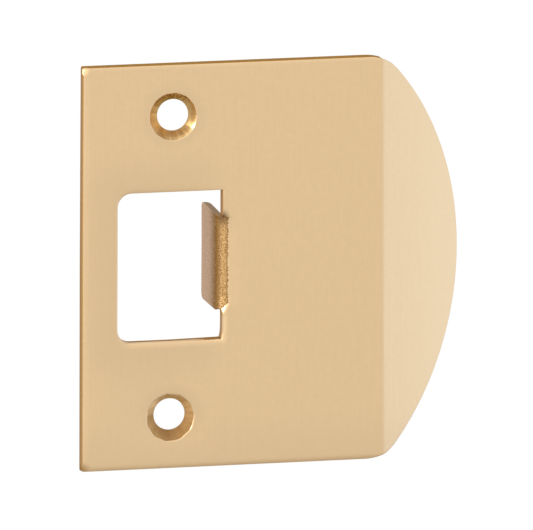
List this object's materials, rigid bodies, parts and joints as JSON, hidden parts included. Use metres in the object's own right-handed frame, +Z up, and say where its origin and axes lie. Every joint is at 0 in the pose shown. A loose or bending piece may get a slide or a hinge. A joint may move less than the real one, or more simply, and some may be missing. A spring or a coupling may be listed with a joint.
{
  "type": "door strike plate",
  "caption": "Full-lip brass door strike plate: flat plate with a latch opening, a tab folded back beside it, countersunk screw holes and a D-shaped lip bent back along one side.",
  "frame": {"origin": "midway between the two screw holes, on the back face that lies on the door jamb", "axes": "-Y out of the show face, +X from the screw line toward the lip, +Z up the jamb along the screw line"},
  "size_m": [0.0549, 0.0104, 0.0572],
  "materials": {
    "brass": "satin polished and lacquered on the front, duller on the folded tab and the sheared edges"
  },
  "bodies": {
    "root": {"strike_plate": "brass"}
  },
  "joints": []
}
